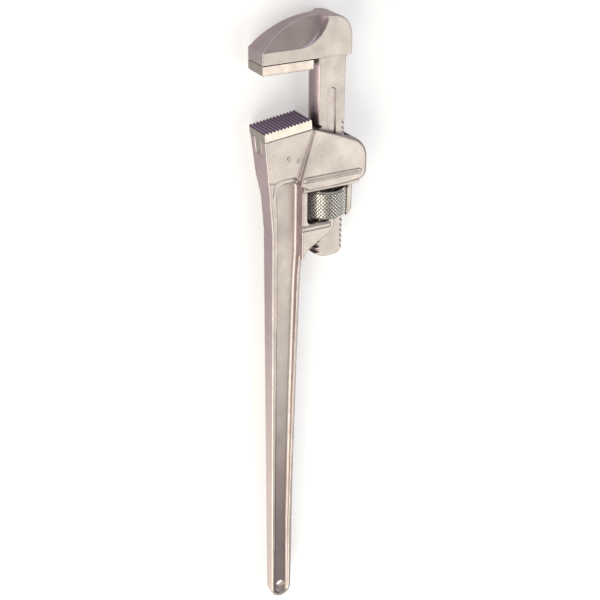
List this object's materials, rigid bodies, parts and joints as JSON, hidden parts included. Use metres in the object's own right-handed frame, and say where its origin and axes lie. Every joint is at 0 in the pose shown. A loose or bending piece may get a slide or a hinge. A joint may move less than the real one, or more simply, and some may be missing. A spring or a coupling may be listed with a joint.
{
  "type": "pipe wrench",
  "caption": "Straight pipe wrench with a sliding hook jaw, knurled adjusting nut, toothed heel jaw and a long I-section handle.",
  "frame": {"origin": "centre of the bounding box's bottom face, under the middle of the wrench as it lies on a broad face", "axes": "+X from the hook jaw along the wrench to the handle's end, jaws open towards -Y, +Z is the thickness and up"},
  "size_m": [0.595, 0.102, 0.037],
  "materials": {
    "cast_metal": "silvery cast skin with a satin sheen",
    "forged_jaw": "satin plated forging",
    "toothed_insert": "satin, machined teeth",
    "nut_steel": "bright diamond knurl",
    "spring_steel": "blued spring steel",
    "pin_steel": "ground flush"
  },
  "bodies": {
    "handle": {"handle_housing": "cast_metal", "heel_jaw": "forged_jaw", "heel_jaw_pin_front": "pin_steel", "heel_jaw_pin_rear": "pin_steel", "coil_spring": "spring_steel", "spring_rivet": "pin_steel"},
    "rocker": {"flat_spring": "spring_steel"},
    "hook": {"hook_jaw": "forged_jaw", "hook_jaw_insert": "toothed_insert"},
    "nut": {"adjusting_nut": "nut_steel"}
  },
  "joints": [
    {"name": "hook_jaw_rock", "type": "hinge", "parent": "handle", "child": "rocker", "pos_m": [-0.12875, 0.0176, 0.0185], "axis": [0, 0, 1], "range_deg": [-2.2, 0], "stiffness_Nm_per_rad": 30, "springref_deg": 4.58, "deforming": ["flat_spring"]},
    {"name": "hook_jaw_slide", "type": "slide", "parent": "rocker", "child": "hook", "axis": [-1, 0, 0], "range_m": [-0.04, 0.034]},
    {"name": "nut_spin", "type": "hinge", "parent": "rocker", "child": "nut", "pos_m": [-0.12875, 0.0176, 0.0185], "axis": [1, 0, 0], "range_deg": [-2850, 2420]}
  ],
  "couplings": [
    {"joint": "nut_spin", "follows": "hook_jaw_slide", "rad_per_m": 1236.8}
  ]
}
